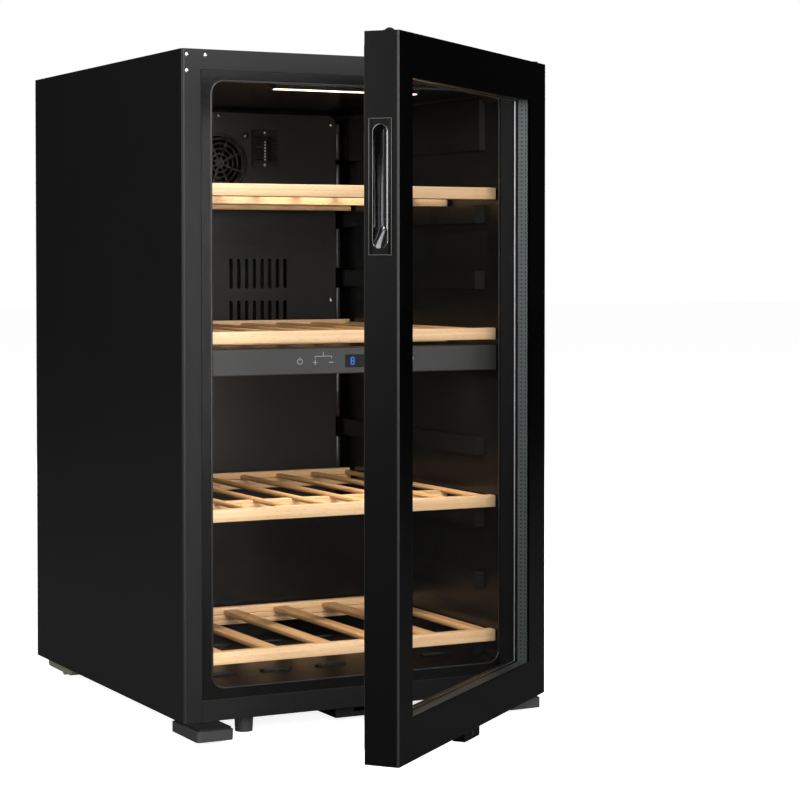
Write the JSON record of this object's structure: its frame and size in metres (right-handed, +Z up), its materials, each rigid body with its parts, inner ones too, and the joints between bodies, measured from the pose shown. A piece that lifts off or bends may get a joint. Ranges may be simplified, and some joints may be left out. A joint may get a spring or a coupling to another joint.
{
  "type": "wine cooler",
  "caption": "Tall dual-zone wine cooler: black steel cabinet with a control bar between zones, wooden slatted shelves and a hinged glass door with a recessed pull.",
  "frame": {"origin": "on the floor, under the middle of the cabinet's front face", "axes": "+X to the right seen from the front, +Y towards the back, +Z up"},
  "size_m": [0.6047, 1.1069, 1.04],
  "materials": {
    "black_paint": "satin",
    "zinc_steel": "satin",
    "liner_black": "satin",
    "foam": "matte",
    "panel_black": "satin",
    "bright_metal": "satin",
    "light_lens": "satin",
    "bar_grey": "satin",
    "dark_window": "gloss",
    "aluminium_fin": "satin",
    "compressor_paint": "gloss",
    "seal_rubber": "matte",
    "copper_tube": "satin",
    "foot_plastic": "satin",
    "glide_plastic": "matte",
    "roller_plastic": "matte",
    "bush_plastic": "matte",
    "door_black": "gloss",
    "door_glass": "gloss",
    "chrome_trim": "gloss",
    "beech": "satin"
  },
  "bodies": {
    "cabinet": {"cabinet_wrap": "black_paint", "bottom_front_rail": "black_paint", "base_pan": "zinc_steel", "back_panel": "black_paint", "inner_liner": "liner_black", "foam_insulation": "foam", "upper_duct_panel": "panel_black", "lower_duct_panel": "panel_black", "fan_grille": "panel_black", "circulation_fan_frame": "panel_black", "sensor_cover": "panel_black", "panel_screws": "bright_metal", "led_housing": "panel_black", "led_lens": "light_lens", "control_panel": "bar_grey", "display_window": "dark_window", "zone_divider": "panel_black", "upper_evaporator": "aluminium_fin", "lower_evaporator": "aluminium_fin", "compressor": "compressor_paint", "compressor_tray": "zinc_steel", "compressor_mounts": "seal_rubber", "condenser_coil": "aluminium_fin", "condenser_fan_frame": "panel_black", "drip_tray": "panel_black", "refrigerant_lines": "copper_tube", "electronics_box": "panel_black", "mains_inlet": "panel_black", "upper_hinge_bracket": "black_paint", "upper_hinge_pin": "bright_metal", "hinge_screws": "bright_metal", "hole_plugs": "bright_metal", "lower_hinge_plate": "black_paint", "lower_hinge_pin": "bright_metal", "right_foot_block": "foot_plastic", "left_foot_block": "foot_plastic", "left_foot_plate": "black_paint", "lock_catch": "black_paint", "rear_feet": "glide_plastic"},
    "door": {"door_frame": "door_black", "front_glass": "door_glass", "rear_glass": "door_glass", "glass_spacer": "aluminium_fin", "door_gasket": "seal_rubber", "handle_cup": "chrome_trim", "handle_bezel": "door_black", "door_plugs": "door_black", "hinge_bushes": "bush_plastic", "lock_housing": "door_black"},
    "lock": {"lock_barrel": "bright_metal"},
    "circulation_fan": {"circulation_fan_rotor": "panel_black"},
    "condenser_fan": {"condenser_fan_rotor": "panel_black"},
    "shelf_1_body": {"shelf_1": "beech"},
    "shelf_2_body": {"shelf_2": "beech"},
    "shelf_3_body": {"shelf_3": "beech"},
    "shelf_4_body": {"shelf_4": "beech"},
    "left_roller": {"rear_roller_left": "roller_plastic"},
    "right_roller": {"rear_roller_right": "roller_plastic"},
    "left_foot": {"levelling_foot_left": "foot_plastic"},
    "right_foot": {"levelling_foot_right": "foot_plastic"}
  },
  "joints": [
    {"name": "door_hinge", "type": "hinge", "parent": "cabinet", "child": "door", "pos_m": [0.2845, -0.04, 0], "axis": [0, 0, 1], "range_deg": [-39.4, 80]},
    {"name": "lock_turn", "type": "hinge", "parent": "door", "child": "lock", "pos_m": [0.07164, -0.22908, 0.019], "axis": [-0.6347, 0.7727, 0], "range_deg": [0, 90]},
    {"name": "circulation_fan_spin", "type": "hinge", "parent": "cabinet", "child": "circulation_fan", "pos_m": [0, 0.575, 0.895], "axis": [0, 1, 0], "continuous": true},
    {"name": "condenser_fan_spin", "type": "hinge", "parent": "cabinet", "child": "condenser_fan", "pos_m": [-0.14, 0.645, 0.105], "axis": [0, 1, 0], "continuous": true},
    {"name": "shelf_1_slide", "type": "slide", "parent": "cabinet", "child": "shelf_1_body", "axis": [0, -1, 0], "range_m": [0, 0.02]},
    {"name": "shelf_2_slide", "type": "slide", "parent": "cabinet", "child": "shelf_2_body", "axis": [0, -1, 0], "range_m": [0, 0.02]},
    {"name": "shelf_3_slide", "type": "slide", "parent": "cabinet", "child": "shelf_3_body", "axis": [0, -1, 0], "range_m": [0, 0.02]},
    {"name": "shelf_4_slide", "type": "slide", "parent": "cabinet", "child": "shelf_4_body", "axis": [0, -1, 0], "range_m": [0, 0.02]},
    {"name": "left_roller_spin", "type": "hinge", "parent": "cabinet", "child": "left_roller", "pos_m": [-0.267, 0.605, 0.011], "axis": [1, 0, 0], "continuous": true},
    {"name": "right_roller_spin", "type": "hinge", "parent": "cabinet", "child": "right_roller", "pos_m": [0.267, 0.605, 0.011], "axis": [1, 0, 0], "continuous": true},
    {"name": "left_foot_turn", "type": "hinge", "parent": "cabinet", "child": "left_foot", "pos_m": [-0.1861, 0.028, 0.012], "axis": [0, 0, 1], "continuous": true},
    {"name": "right_foot_turn", "type": "hinge", "parent": "cabinet", "child": "right_foot", "pos_m": [0.1861, 0.028, 0.012], "axis": [0, 0, 1], "continuous": true}
  ]
}
